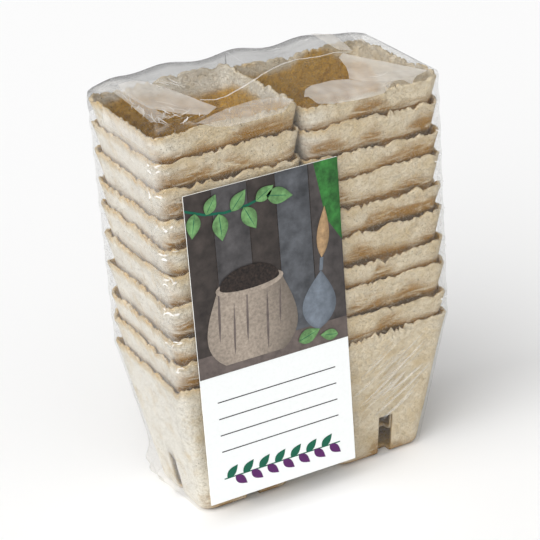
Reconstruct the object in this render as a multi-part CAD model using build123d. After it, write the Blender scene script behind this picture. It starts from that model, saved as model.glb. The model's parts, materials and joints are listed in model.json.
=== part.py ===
from build123d import *
import os

# Shop pack of square moulded fibre seed pots: two stacks of nested pots stand side by side in a
# clear film, with a printed card on the front. Millimetres, +Z up, +X to the right along the
# front, the front faces -Y, and the origin is under the middle of the pack, on its table.

os.makedirs("parts", exist_ok=True)

# One pot. The wall is measured level, straight across it.
RIM_WIDTH = 60.0
BASE_WIDTH = 40.0
POT_HEIGHT = 60.0
WALL_THICKNESS = 1.35
FLOOR_THICKNESS = 1.6
CORNER_RADIUS = 4.5
FOOT_BEVEL = 1.4

# Root slots: one in each wall, open at the bottom and running a short way into the floor.
SLOT_WIDTH = 6.5
SLOT_HEIGHT = 19.0
SLOT_FLOOR_REACH = 5.0
SLOT_SHIFT = 2.2  # the front and back slots stand this far right of the wall's middle

# Nesting. Each share is how much further than its tightest seat a pot stands out of the one
# below it, from the second pot of the stack to the top one.
NEST_CLEARANCE = 0.3
STACK_GAP = 0.6
LEFT_SEAT_SHARES = (0.23, 0.0, 0.33, 0.25, 0.21, 0.0, 0.21, 0.1, 0.0)
RIGHT_SEAT_SHARES = (0.0, 0.26, 0.0, 0.27, 0.18, 0.17, 0.02, 0.21, 0.0)

# Clear film: a sleeve round both stacks, and a top in two halves that rises to the back. Each
# crest share is a place from the front (-1) to the back (1) and the part of the rise there.
FILM_THICKNESS = 0.3
FILM_CLEARANCE = 0.8
FILM_HEM_HEIGHT = 1.0
FILM_SKIRT = 3.5  # how far the top reaches down past the lower of the two stacks' rims
FILM_SPLIT = 0.2  # between the halves of the top, and between the top and the sleeve
FILM_RISE = 4.2
FILM_CREST_SHARES = ((-1, 0), (-0.5, 0.14), (0, 0.45), (0.5, 0.79), (1, 1))
FILM_END_RUN = 14.0  # length of the slope down to the outer end
FILM_END_DROP = 2.6

# Printed card on the front of the film.
CARD_WIDTH = 64.5
CARD_HEIGHT = 129.0
CARD_THICKNESS = 0.5
CARD_BOTTOM = 10.0
CARD_SIDE_MARGIN = 8.3  # from the left side of the stack to the card's edge

CUT_OVERRUN = 1.0

# Worked out from the sizes above.
TAPER = (RIM_WIDTH - BASE_WIDTH) / (2 * POT_HEIGHT)
TIGHT_STEP = (WALL_THICKNESS + NEST_CLEARANCE) / TAPER
STACK_OFFSET = (RIM_WIDTH + STACK_GAP) / 2
PACK_WIDTH = 2 * RIM_WIDTH + STACK_GAP
FILM_SPREAD = FILM_CLEARANCE + FILM_THICKNESS


def tapered_block(low, low_size, high, high_size, radius):
    """Upright block between two level rectangles, with its four slanted edges rounded."""
    slabs = []
    for plane, near, far, reach in (
        (Plane.XZ, low_size[0] / 2, high_size[0] / 2, high_size[1] / 2),
        (Plane.YZ, low_size[1] / 2, high_size[1] / 2, high_size[0] / 2),
    ):
        outline = Polyline((-near, low), (near, low), (far, high), (-far, high), close=True)
        slabs.append(extrude(plane * make_face(outline), reach, both=True))
    block = slabs[0] & slabs[1]
    return fillet(block.edges().group_by(Axis.Z)[1], radius)


def pot_size(height, inset):
    """Width and depth across a pot at a height, drawn in from its outside by inset."""
    width = BASE_WIDTH + 2 * (TAPER * height - inset)
    return width, width


def root_slots():
    """The four slots of a pot, as solids to cut away."""
    floor_end = BASE_WIDTH / 2 - SLOT_FLOOR_REACH
    cut = Box(
        SLOT_WIDTH,
        RIM_WIDTH / 2 - floor_end,
        SLOT_HEIGHT + CUT_OVERRUN,
        align=(Align.CENTER, Align.MIN, Align.MIN),
    )
    shifts = {0: SLOT_SHIFT, 90: 0, 180: -SLOT_SHIFT, 270: 0}
    return [
        Rot(0, 0, turn) * Pos(shift, floor_end, -CUT_OVERRUN) * cut
        for turn, shift in shifts.items()
    ]


def make_pot():
    """One pot standing on the origin: tapered shell, bevelled foot, slotted walls."""
    rim = POT_HEIGHT
    top = rim + CUT_OVERRUN
    outside = tapered_block(0, pot_size(0, 0), rim, pot_size(rim, 0), CORNER_RADIUS)
    bevel = tapered_block(
        0, pot_size(0, FOOT_BEVEL), rim, pot_size(0, FOOT_BEVEL - rim), CORNER_RADIUS
    )
    inside = tapered_block(
        FLOOR_THICKNESS,
        pot_size(FLOOR_THICKNESS, WALL_THICKNESS),
        top,
        pot_size(top, WALL_THICKNESS),
        CORNER_RADIUS - WALL_THICKNESS,
    )
    return (outside & bevel) - inside - root_slots()


def seat_heights(seat_shares):
    """Height of each pot's foot in a stack, from the bottom one up."""
    heights = [0]
    for share in seat_shares:
        heights.append(heights[-1] + TIGHT_STEP * (1 + share))
    return heights


def film_size(height, spread):
    """Width and depth round both stacks, standing out by spread from the bottom pots' walls."""
    reach = 2 * (spread + TAPER * (height - POT_HEIGHT))
    return PACK_WIDTH + reach, RIM_WIDTH + reach


def film_column(spread, hem, top):
    """Solid column that tapers with the bottom pots and runs straight up from their rims."""
    radius = CORNER_RADIUS + spread
    shaft = Pos(0, 0, hem) * RectangleRounded(*film_size(POT_HEIGHT, spread), radius)
    foot = tapered_block(hem, film_size(hem, spread), top, film_size(top, spread), radius)
    return extrude(shaft, top - hem) & foot


def make_film_sleeve(top):
    """Film round the sides of both stacks, open above and below."""
    column = film_column(FILM_SPREAD, FILM_HEM_HEIGHT, top)
    return column - film_column(FILM_CLEARANCE, FILM_HEM_HEIGHT - CUT_OVERRUN, top + CUT_OVERRUN)


def film_crown(spread, skirt, start, end):
    """Block under half the film's top, from its split side at start to its rounded outer end."""
    side = RIM_WIDTH / 2 + spread
    peak = spread + FILM_RISE
    crest = [(side * place, spread + FILM_RISE * lift) for place, lift in FILM_CREST_SHARES]
    seen_from_end = Polyline((-side, -skirt), *crest, (side, -skirt), close=True)
    seen_from_front = Polyline(
        (start, -skirt),
        (end, -skirt),
        (end, peak - FILM_END_DROP),
        (end - FILM_END_RUN, peak),
        (start, peak),
        close=True,
    )
    block = extrude(Plane.YZ * make_face(seen_from_end), end, both=True)
    block = block & extrude(Plane.XZ * make_face(seen_from_front), side, both=True)
    return fillet(block.edges().filter_by(Axis.Z).group_by(Axis.X)[-1], CORNER_RADIUS + spread)


def make_film_top(skirt):
    """Right half of the film's top over a rim at height zero, with its split at x = 0."""
    start = FILM_SPLIT / 2
    end = PACK_WIDTH / 2
    hollow = film_crown(
        FILM_CLEARANCE, skirt + CUT_OVERRUN, start - CUT_OVERRUN, end + FILM_CLEARANCE
    )
    return film_crown(FILM_SPREAD, skirt, start, end + FILM_SPREAD) - hollow


def make_label_card():
    """Card standing upright against the film's front."""
    card = Box(
        CARD_WIDTH,
        CARD_THICKNESS,
        CARD_HEIGHT,
        align=(Align.MIN, Align.MAX, Align.MIN),
    )
    return Pos(CARD_SIDE_MARGIN - PACK_WIDTH / 2, -RIM_WIDTH / 2 - FILM_SPREAD, CARD_BOTTOM) * card


def save(solid, node):
    export_step(solid, f"parts/{node}.step")


pot = make_pot()
left_feet = seat_heights(LEFT_SEAT_SHARES)
right_feet = seat_heights(RIGHT_SEAT_SHARES)
for stack, offset, feet in (
    ("left", -STACK_OFFSET, left_feet),
    ("right", STACK_OFFSET, right_feet),
):
    for number, foot in enumerate(feet, start=1):
        save(Pos(offset, 0, foot) * pot, f"{stack}_pot_{number:02d}")

left_rim = left_feet[-1] + POT_HEIGHT
right_rim = right_feet[-1] + POT_HEIGHT
skirt_end = min(left_rim, right_rim) - FILM_SKIRT
left_top = mirror(make_film_top(left_rim - skirt_end), about=Plane.YZ)
save(make_film_sleeve(skirt_end - FILM_SPLIT), "film_sleeve")
save(Pos(0, 0, left_rim) * left_top, "film_top_left")
save(Pos(0, 0, right_rim) * make_film_top(right_rim - skirt_end), "film_top_right")
save(make_label_card(), "label_card")

print(f"nest step {TIGHT_STEP:.2f}, rims at {left_rim:.2f} and {right_rim:.2f}")
print(f"film hinge height {skirt_end:.2f}, half width {PACK_WIDTH / 2 + FILM_SPREAD:.2f}")
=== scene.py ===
import json
import math
import random

import bpy
import numpy as np
from bpy.props import FloatProperty, FloatVectorProperty, PointerProperty
from mathutils import Matrix, Vector, noise


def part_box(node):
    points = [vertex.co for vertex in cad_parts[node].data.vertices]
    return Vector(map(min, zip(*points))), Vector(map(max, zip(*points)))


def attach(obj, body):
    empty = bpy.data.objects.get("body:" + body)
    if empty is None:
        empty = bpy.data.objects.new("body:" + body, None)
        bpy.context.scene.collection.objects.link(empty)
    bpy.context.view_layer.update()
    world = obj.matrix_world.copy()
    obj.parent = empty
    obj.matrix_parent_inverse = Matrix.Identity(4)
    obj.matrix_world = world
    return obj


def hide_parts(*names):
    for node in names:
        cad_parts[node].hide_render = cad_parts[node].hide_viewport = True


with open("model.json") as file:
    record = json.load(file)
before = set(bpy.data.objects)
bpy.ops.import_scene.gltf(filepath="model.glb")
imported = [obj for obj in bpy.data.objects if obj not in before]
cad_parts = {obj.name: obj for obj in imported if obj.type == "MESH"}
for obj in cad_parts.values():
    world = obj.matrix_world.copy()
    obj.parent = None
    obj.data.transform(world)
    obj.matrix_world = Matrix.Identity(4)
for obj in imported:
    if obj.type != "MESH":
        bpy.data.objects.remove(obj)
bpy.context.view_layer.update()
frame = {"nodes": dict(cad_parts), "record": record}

bl_info = {
    "name": "Fibre pot pack",
    "version": (1, 0, 0),
    "blender": (4, 5, 0),
    "location": "3D View > Sidebar > Fibre pots",
    "description": "Dresses a film-wrapped pack of nested fibre seed pots",
    "category": "Object",
}

SIDES = ("left", "right")
POT_NODES = {
    side: sorted(n for n in frame["nodes"] if n.startswith(f"{side}_pot_")) for side in SIDES
}
OUTWARDS = {"left": -1, "right": 1}  # along X
BODY_OF = {n: b for b, nodes in frame["record"]["behaviour"]["bodies"].items() for n in nodes}

# The first pot's box gives the rim width and the height of every pot.
POT_LOW, POT_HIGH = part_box("left_pot_01")
RIM_WIDTH = POT_HIGH.x - POT_LOW.x
POT_HEIGHT = POT_HIGH.z - POT_LOW.z
FEET = {side: [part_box(n)[0].z for n in POT_NODES[side]] for side in SIDES}
RIMS = {side: [z + POT_HEIGHT for z in FEET[side]] for side in SIDES}
STACK_X = {
    side: (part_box(POT_NODES[side][0])[0].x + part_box(POT_NODES[side][0])[1].x) / 2 for side in SIDES
}
SLEEVE_LOW, SLEEVE_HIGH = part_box("film_sleeve")
CARD_LOW, CARD_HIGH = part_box("label_card")
PACK_HALF_WIDTH = STACK_X["right"] + RIM_WIDTH / 2
PACK_HALF_DEPTH = RIM_WIDTH / 2


def plain(name, description, default, **options):
    """A setting that holds one plain number."""
    return FloatProperty(name=name, description=description, default=default, **options)


def metres(name, description, default):
    """A setting in metres."""
    return plain(name, description, default, unit="LENGTH")


def degrees(name, description, angle):
    """A setting that holds an angle, given in degrees."""
    return plain(name, description, math.radians(angle), subtype="ANGLE")


def hue(name, description, default):
    """A setting that holds a colour."""
    texts = {"name": name, "description": description}
    return FloatVectorProperty(**texts, default=default, subtype="COLOR")


class FibrePotSettings(bpy.types.PropertyGroup):
    """Sizes and colours of the moulded pots"""

    base_width: metres("Base width", "Outside width of the foot", 0.040)
    wall: metres("Wall", "Wall measured level", 0.00135)
    floor: metres("Floor", "Thickness of the bottom", 0.0016)
    rim_corner: metres("Rim corner", "Corner radius at the rim", 0.0046)
    base_corner: metres("Base corner", "Corner radius at the foot", 0.006)
    foot_radius: metres("Foot radius", "Rounding under the foot", 0.0025)
    slot_width: metres("Slot width", "Width of a root slot", 0.0065)
    slot_height: metres("Slot height", "Height of a root slot", 0.019)
    slot_reach: metres("Slot reach", "How far a slot cuts into the floor", 0.005)
    slot_shift: metres("Slot shift", "Front and back slots off the middle", 0.0022)
    rim_wave: metres("Rim wave", "Slow rise and fall of the rim", 0.0013)
    rim_fray: metres("Rim fray", "Torn raggedness of the rim", 0.0027)
    rim_bow: metres("Rim bow", "How far the rim bows outwards", 0.0007)
    lump: metres("Lumps", "Height of the lumps on the walls", 0.00012)
    pale: hue("Pale fibre", "Lightest fibre colour", (0.78, 0.68, 0.51))
    tan: hue("Tan fibre", "Main fibre colour", (0.645, 0.508, 0.303))
    # Ochre also paints the warm shade inside the pots and at each strip's foot.
    ochre: hue("Ochre fibre", "Fibre in hollows", (0.34, 0.17, 0.026))
    bran: hue("Bran fibre", "Lighter specks inside", (0.62, 0.37, 0.085))
    # Painted light: this paler fibre is painted on the walls that face the lamp and on a lit patch
    # inside the top pots.
    bleached: hue("Bleached fibre", "Walls on the lit side", (0.85, 0.815, 0.73))
    # Fleck also paints the shadow line in the gap just above each lower rim.
    fleck: hue("Fleck", "Dark specks", (0.13, 0.075, 0.022))


class FilmSettings(bpy.types.PropertyGroup):
    """Shape and tint of the clear film"""

    stand_off: metres("Stand-off", "Film clear of the rims", 0.0009)
    rim_bulge: metres("Rim bulge", "Film stretched over a rim", 0.0004)
    crease: metres("Crease", "Height of the larger creases", 0.0005)
    back_crest: metres("Back crest", "Film above the rims at the back", 0.0050)
    front_crest: metres("Front crest", "Film above the rims at the front", 0.0010)
    gloss: plain("Roughness", "Roughness of the film's shine", 0.09)
    tint: hue("Film tint", "Light passed by the film", (0.975, 0.975, 0.97))
    shade: hue("Film shade", "Light passed by bunched film", (0.66, 0.66, 0.66))
    # The milky colour also paints the sheen on the film's lit left side.
    haze: hue("Haze", "Colour of milky film", (0.80, 0.765, 0.715))
    glint: hue("Glint", "Colour of bright slivers", (0.94, 0.93, 0.91))


class CardSettings(bpy.types.PropertyGroup):
    """Colours of the printed card"""

    paper: hue("Paper", "Bare card", (0.87, 0.89, 0.885))
    plank: hue("Planks", "Dark boards behind", (0.058, 0.046, 0.041))
    shelf: hue("Shelf", "Paler board in front", (0.135, 0.108, 0.098))
    linen: hue("Linen", "Printed sack", (0.36, 0.30, 0.245))
    wood: hue("Wood", "Trowel's handle", (0.42, 0.27, 0.14))
    steel: hue("Steel", "Trowel's blade", (0.17, 0.20, 0.24))
    soil: hue("Soil", "Dark soil", (0.022, 0.014, 0.011))
    leaf: hue("Leaf", "Leaf green", (0.14, 0.30, 0.11))
    grass: hue("Grass", "Green behind the boards", (0.03, 0.16, 0.03))
    plum: hue("Plum", "Purple accents", (0.09, 0.012, 0.11))
    pine: hue("Pine", "Dark green accents", (0.0, 0.11, 0.06))
    ink: hue("Ink", "Dark printed lines", (0.02, 0.02, 0.022))


class StageSettings(bpy.types.PropertyGroup):
    """Camera, light and floor"""

    azimuth: degrees("Azimuth", "Camera's turn about the pack", -26.83)
    elevation: degrees("Elevation", "Camera's height angle", 23.59)
    roll: degrees("Roll", "Camera's roll", -4.33)
    distance: metres("Distance", "Camera to target", 0.80115)
    target_height: metres("Target height", "Height looked at", 0.090)
    lens: plain("Lens", "Focal length in millimetres", 135.53)
    shift_x: plain("Shift X", "Lens shift across", -0.01183)
    shift_y: plain("Shift Y", "Lens shift upwards", -0.02376)
    floor: hue("Floor", "Floor colour", (0.96, 0.96, 0.96))
    sun: plain("Sun", "Strength of the soft side light", 2.5)
    sun_spread: degrees("Sun spread", "Width of the soft light", 64)
    sky_bright: plain("Bright sky", "Light from the front and left", 0.87)
    sky_dim: plain("Dim sky", "Light from the back and right", 0.24)


def mesh_object(name, points, faces, material, smooth=True):
    """A linked mesh object from points and faces."""
    mesh = bpy.data.meshes.new(name)
    mesh.from_pydata([tuple(p) for p in points], [], faces)
    mesh.polygons.foreach_set("use_smooth", [smooth] * len(mesh.polygons))
    mesh.materials.append(material)
    mesh.validate()
    piece = bpy.data.objects.new(name, mesh)
    bpy.context.scene.collection.objects.link(piece)
    return piece


def point_values(piece, name, values):
    """Stores one number per point of a piece for its material."""
    layer = piece.data.attributes.new(name, "FLOAT", "POINT")
    layer.data.foreach_set("value", values)


def grid_faces(rows, columns, closed=False):
    """Quads over a grid of points stored row by row."""
    faces = []
    for i in range(rows - 1):
        below, above = i * columns, (i + 1) * columns
        for j in range(columns if closed else columns - 1):
            k = (j + 1) % columns
            faces.append((below + j, below + k, above + k, above + j))
    return faces


BLACK, WHITE = (0, 0, 0), (1, 1, 1)


class Shader:
    """Small helper that adds and joins the shader nodes of a new material or world."""

    def __init__(self, name, owners=None):
        self.owner = (bpy.data.materials if owners is None else owners).new(name)
        self.owner.use_nodes = True
        self.tree = self.owner.node_tree
        self.tree.nodes.clear()
        self.output = self.add("OutputMaterial" if owners is None else "OutputWorld")

    def add(self, kind, **sockets):
        """A node with its sockets set by name, or by number as i0, i1 and so on."""
        node = self.tree.nodes.new("ShaderNode" + kind)
        for name, value in sockets.items():
            self.put(node, name, value)
        return node

    def put(self, node, name, value):
        """Joins a node's socket to another one, or sets it to a value."""
        by_number = name[0] == "i" and name[1:].isdigit()
        socket = node.inputs[int(name[1:]) if by_number else name.replace("_", " ")]
        if isinstance(value, bpy.types.NodeSocket):
            self.tree.links.new(value, socket)
        else:
            socket.default_value = value

    def noise(self, vector, scale, detail=4.0, roughness=0.6, distortion=0.0):
        sizes = {"Scale": scale, "Detail": detail, "Roughness": roughness}
        node = self.add("TexNoise", Vector=vector, Distortion=distortion, **sizes)
        return node.outputs["Fac"]

    def ramp(self, value, *stops):
        node = self.add("ValToRGB", Fac=value)
        ramp = node.color_ramp
        while len(ramp.elements) < len(stops):
            ramp.elements.new(0.5)
        for element, (place, colour) in zip(ramp.elements, stops):
            element.position = place
            element.color = (*colour, 1.0)
        return node.outputs["Color"]

    def mask(self, value, low, high):
        """Black below a low value, white above a high one."""
        return self.ramp(value, (low, BLACK), (high, WHITE))

    def band(self, value, middle, half):
        """White at a middle value, black half a band to either side."""
        return self.ramp(value, (middle - half, BLACK), (middle, WHITE), (middle + half, BLACK))

    def mix(self, factor, first, second):
        node = self.add("Mix")
        node.data_type = "RGBA"
        self.put(node, "i0", factor)
        self.put(node, "i6", (*first, 1.0) if isinstance(first, tuple) else first)
        self.put(node, "i7", (*second, 1.0) if isinstance(second, tuple) else second)
        return node.outputs[2]

    def math(self, operation, first, second):
        node = self.add("Math", i0=first, i1=second)
        node.operation = operation
        return node.outputs[0]

    def times(self, first, second):
        return self.math("MULTIPLY", first, second)

    def plus(self, first, second):
        return self.math("ADD", first, second)

    def stretch(self, vector, scale):
        return self.add("Mapping", Vector=vector, Scale=scale).outputs[0]

    def place(self):
        return self.add("TexCoord").outputs["Object"]

    def value_of(self, name):
        """The value that a mesh stores under a name for each of its points."""
        node = self.add("Attribute")
        node.attribute_name = name
        return node.outputs["Fac"]

    def bump(self, height, distance, strength=1.0, **sockets):
        node = self.add("Bump", Height=height, Distance=distance, Strength=strength, **sockets)
        return node.outputs[0]

    def matt(self, colour, roughness, shine, **sockets):
        """Finishes the material as an opaque surface."""
        sockets.update(Base_Color=colour, Roughness=roughness, Specular_IOR_Level=shine)
        return self.finish(self.add("BsdfPrincipled", **sockets))

    def finish(self, surface):
        self.tree.links.new(surface.outputs[0], self.output.inputs["Surface"])
        return self.owner


# Noise of the materials, as scale, detail, roughness and distortion.
BLOTCH = (120.0, 5.0, 0.65)
GRAIN = (560.0, 5.0, 0.72)
DRIFT = (1.0, 6.0, 0.7, 0.7)
DRIFT_STRETCH = (75.0, 75.0, 330.0)
HOLLOW = (430.0, 6.0, 0.78)
STRAND = (260.0, 3.0, 0.5, 2.2)
EDGE_PATCH = (240.0, 4.0, 0.7)
SPECK = (1200.0, 2.0, 0.5)
FELT = (800.0, 6.0, 0.72)
FILM_RIPPLE = (170.0, 3.0, 0.5, 0.8)
FILM_RIDGE = (230.0, 4.0, 0.6, 1.6)
FILM_CLOUD = (45.0, 4.0, 0.6)
INK_MOTTLE = (5.0, 0.6)
PAPER_GRAIN = (2500.0, 2.0)
# Relief of the materials, as the height of a bump and its strength.
FIBRE_RELIEF = (0.0009, 1.0)
RIPPLE_RELIEF = (0.0006, 0.4)
RIDGE_HEIGHT = 0.0016
PAPER_RELIEF = (0.0001, 0.15)
# Share of light that the film throws back straight on, what it gains at a slant, and how late.
FILM_SHINE = (0.04, 0.65, 4.5)
UNLIT_INK = 0.25  # brightness of ink whose tone is 0


def fibre_material(pot):
    """Moulded wood fibre: blotched pulp with ochre stains and painted shade, a painted shadow line at
    each strip's foot, golden painted shade inside, painted light on lit walls, pale strands and dark
    specks.
    """
    s = Shader("moulded_fibre")
    place = s.place()
    pale, tan, ochre, bran, bleached, fleck = (
        tuple(c) for c in (pot.pale, pot.tan, pot.ochre, pot.bran, pot.bleached, pot.fleck)
    )
    blotch = s.noise(place, *BLOTCH)
    colour = s.mix(s.mask(blotch, 0.32, 0.56), tan, pale)
    colour = s.mix(s.times(s.mask(s.noise(place, *GRAIN), 0.48, 0.64), 0.7), colour, tan)
    # Painted light: walls that face the lamp, and a lit patch inside the top pots, turn towards the
    # paler fibre.
    bleach = s.times(s.value_of("bleach"), s.mask(blotch, 0.2, 0.5))
    colour = s.mix(bleach, colour, bleached)
    drift = s.noise(s.stretch(place, DRIFT_STRETCH), *DRIFT)
    # Ochre stains with painted shade at the foot of each strip; over 1 the value paints a dark shadow
    # line in the gap above the rim below.
    stain = s.value_of("stain")
    colour = s.mix(s.times(stain, s.mask(drift, 0.36, 0.52)), colour, ochre)
    colour = s.mix(s.math("SUBTRACT", stain, 1.0), colour, fleck)
    # Painted warm shade inside the pots: golden fibre mottled with bran.
    inner = s.mix(s.mask(s.noise(place, *HOLLOW), 0.33, 0.54), ochre, bran)
    colour = s.mix(s.value_of("inside"), colour, inner)
    strands = s.band(s.noise(place, *STRAND), 0.5, 0.03)
    colour = s.mix(s.times(strands, 0.4), colour, pale)
    edge = s.times(s.value_of("edge"), s.mask(s.noise(place, *EDGE_PATCH), 0.42, 0.58))
    colour = s.mix(s.times(edge, 0.8), colour, bran)
    specks = s.mask(s.noise(place, *SPECK), 0.65, 0.74)
    colour = s.mix(s.times(specks, 0.65), colour, fleck)
    relief = s.plus(s.times(s.noise(place, *FELT), 0.7), s.times(strands, 0.25))
    relief = s.plus(relief, s.times(drift, 0.8))
    return s.matt(colour, 0.92, 0.2, Normal=s.bump(relief, *FIBRE_RELIEF))


def film_material(name, film, milk_and_sheen_strength, milk_and_highlight_colour):
    """Thin clear film: glossy at a slant on both sides, milky or grey by its haze and shade; the milk
    also carries painted sheen and painted highlights.
    """
    s = Shader(name)
    place = s.place()
    normal = s.bump(s.noise(place, *FILM_RIPPLE), *RIPPLE_RELIEF)
    ridges = s.band(s.noise(place, *FILM_RIDGE), 0.5, 0.08)
    normal = s.bump(ridges, RIDGE_HEIGHT, s.value_of("crinkle"), Normal=normal)
    tint = s.mix(s.value_of("shade"), tuple(film.tint), tuple(film.shade))
    clear = s.add("BsdfTransparent", Color=tint).outputs[0]
    gloss = s.add("BsdfGlossy", Roughness=film.gloss, Normal=normal).outputs[0]
    facing = s.add("LayerWeight", Blend=0.5, Normal=normal).outputs["Facing"]
    least, gain, power = FILM_SHINE
    slant = s.plus(s.times(s.math("POWER", facing, power), gain), least)
    glossy = s.add("MixShader", i0=slant, i1=clear, i2=gloss).outputs[0]
    milk_and_highlight = s.add("BsdfDiffuse", Color=(*milk_and_highlight_colour, 1.0), Roughness=0.5).outputs[0]
    cloud = s.mask(s.noise(place, *FILM_CLOUD), 0.25, 0.7)
    amount = s.times(s.value_of("haze"), s.plus(s.times(cloud, 0.5), 0.5))
    amount = s.times(amount, milk_and_sheen_strength)
    return s.finish(s.add("MixShader", i0=amount, i1=glossy, i2=milk_and_highlight))


def print_material(name, colour, spread=0.25, scale=300.0, rough=0.45):
    """Printed ink with fine mottling under a light varnish, darker where its tone is low."""
    s = Shader(name)
    place = s.place()
    dark = tuple(c * (1 - spread) for c in colour)
    light = tuple(min(c * (1 + spread), 1.0) for c in colour)
    ink = s.mix(s.mask(s.noise(place, scale, *INK_MOTTLE), 0.3, 0.7), dark, light)
    ink = s.mix(s.value_of("tone"), tuple(c * UNLIT_INK for c in colour), ink)
    grain = s.bump(s.noise(place, *PAPER_GRAIN), *PAPER_RELIEF)
    return s.matt(ink, rough, 0.3, Normal=grain)


# Pot mesh: each ring runs round the pot from the back wall's right end, anticlockwise from above.
FLAT_STEPS = 30
SLOT_STEPS = 5
CORNER_STEPS = 6
SIDE_STEPS = 2 * FLAT_STEPS + SLOT_STEPS + CORNER_STEPS
FOOT_STEPS = 4
LEAST_RADIUS, LEAST_INNER_RADIUS = 0.001, 0.0008
# Rings across the floor and up to the top of the slots, as shares of the way.
FLOOR_SHARES = (0.2, 0.48, 0.76, 1.0)
WALL_SHARES = (0.0, 0.2, 0.42, 0.64, 0.84, 1.0)
# Rings above the slots, as depths under the rim: on a bottom pot, and on one with a strip in view,
# where some are measured from the strip's end.
BARE_DEPTHS = (0.036, 0.031, 0.0255, 0.0205, 0.016, 0.012, 0.0082, 0.0053)
HIDDEN_DEPTHS = (0.034, 0.027, 0.021)
STRIP_DEPTHS = (0.004, 0.001, 0.0, -0.001, -0.0022, -0.004, -0.006)
RIM_DEPTHS = (0.0031, 0.0014, 0.0006, 0.0)


def evenly(start, end, steps):
    """Stops from a start up to, but without, an end."""
    return [start + (end - start) * k / steps for k in range(steps)]


def pot_ring(half, radius, pot, pinch=1.0):
    """Points and outward normals of a rounded square, with stops at the slot's edges."""
    points, normals = [], []
    for turn, shift in enumerate((pot.slot_shift, 0.0, -pot.slot_shift, 0.0)):
        flat = half - radius
        edges = [(shift + pot.slot_width / 2) * pinch, (shift - pot.slot_width / 2) * pinch]
        stops = evenly(flat, edges[0], FLAT_STEPS)
        stops += evenly(edges[0], edges[1], SLOT_STEPS)
        stops += evenly(edges[1], -flat, FLAT_STEPS)
        spin = Matrix.Rotation(turn * math.pi / 2, 2)
        points += [spin @ Vector((t, half)) for t in stops]
        normals += [spin @ Vector((0.0, 1.0)) for t in stops]
        for k in range(CORNER_STEPS):
            angle = math.pi / 2 * (1 + k / CORNER_STEPS)
            out = Vector((math.cos(angle), math.sin(angle)))
            points.append(spin @ (Vector((-flat, flat)) + radius * out))
            normals.append(spin @ out)
    return points, normals


def pot_taper(pot):
    """How far a pot's wall stands out for each unit of height."""
    return (RIM_WIDTH - pot.base_width) / 2 / POT_HEIGHT


def wall_depths(strip):
    """Depths under the rim of the rings above the slots, closer where the strip ends."""
    if strip >= POT_HEIGHT:
        return BARE_DEPTHS + RIM_DEPTHS
    return (*HIDDEN_DEPTHS, *(strip + step for step in STRIP_DEPTHS), *RIM_DEPTHS)


def pot_rows(pot, strip):
    """Rings of a pot from the floor's middle to the rim, as outside and inside places."""
    taper = pot_taper(pot)
    foot = pot.base_width / 2
    reach = foot - pot.slot_reach
    rows = []

    def add(inset, z, lean, pinch=1.0, floor_half=None):
        half = floor_half or foot + taper * z - inset
        corner = pot.base_corner + (pot.rim_corner - pot.base_corner) * z / POT_HEIGHT - inset
        radius = max(corner, LEAST_RADIUS)
        if floor_half is not None:
            radius = floor_half * pot.base_corner / foot
        thick = pot.wall * math.sin(lean)
        rows.append(
            {
                "half": half,
                "radius": radius,
                "z": z,
                "inner_half": half - thick,
                "inner_radius": max(radius - thick, LEAST_INNER_RADIUS),
                "inner_z": z + pot.floor * math.cos(lean),
                "pinch": pinch,
            }
        )

    for share in FLOOR_SHARES:
        add(0.0, 0.0, 0.0, share, reach * share)
    first_slot_row = len(rows) - 1
    for k in range(FOOT_STEPS):
        lean = math.pi / 2 * k / FOOT_STEPS
        add(pot.foot_radius * (1 - math.sin(lean)), pot.foot_radius * (1 - math.cos(lean)), lean)
    for share in WALL_SHARES:
        add(0.0, pot.foot_radius + (pot.slot_height - pot.foot_radius) * share, math.pi / 2)
    last_slot_row = len(rows) - 1
    for depth in wall_depths(strip):
        add(0.0, POT_HEIGHT - depth, math.pi / 2)
    return rows, first_slot_row, last_slot_row


def weighted_noise(spot, *layers, shift=Vector()):
    """Sum of noise at several scales, each with its weight."""
    return sum(weight * noise.noise(spot * scale + shift) for scale, weight in layers)


# Noise round a rim, as scale and weight.
RIM_WAVES = ((1.6, 1.0), (3.7, 0.7))
RIM_TEARS = ((17.0, 0.6), (41.0, 0.6))
RIM_NOTCHES = (6.0, 0.8)
RIM_PATCHES, PATCH_SHIFT = (2.1, 1.2), Vector((3, 5, 2))
RIM_BOWS, BOW_SHIFT = (2.9, 0.7), Vector((7, 3, 1))
RIM_CURLS = (12.0, 0.55)
RIM_TILT = 0.0005
RIM_CEILING = 0.0009
SEED_STEP = 1.7


def rim_profile(seed, pot, place, inner_side):
    """How far the rim rises and bows out at a place, which differs from pot to pot."""
    rng = random.Random(seed)
    tilt = Vector((rng.uniform(-1, 1), rng.uniform(-1, 1)))
    around = place.normalized()
    spot = Vector((around.x, around.y, seed * SEED_STEP))
    torn = abs(weighted_noise(spot, RIM_NOTCHES)) + weighted_noise(spot, *RIM_TEARS)
    torn *= 0.5 + abs(weighted_noise(spot, RIM_PATCHES, shift=PATCH_SHIFT))
    rise = pot.rim_wave * (weighted_noise(spot, *RIM_WAVES) - 0.1) + RIM_TILT * tilt.dot(around)
    rise -= pot.rim_fray * (torn - 0.1)
    curl = 0.5 + weighted_noise(spot, RIM_BOWS, shift=BOW_SHIFT) + weighted_noise(spot, RIM_CURLS)
    bow = pot.rim_bow * min(max(curl, 0.0), 1.0)
    # The two stacks stand close together, so the facing walls stay straight.
    facing = max(0.0, around.x * inner_side)
    return min(rise, RIM_CEILING), bow * (1 - min(1.0, facing * 1.4))


def fade(value, low, high):
    """Smooth change from 0 at a low value to 1 at a high one."""
    t = min(max((value - low) / (high - low), 0.0), 1.0)
    return t * t * (3 - 2 * t)


RIM_ZONE = 0.012  # depth over which a ragged rim eases into its wall
RIM_THINNING = 0.0001
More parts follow.
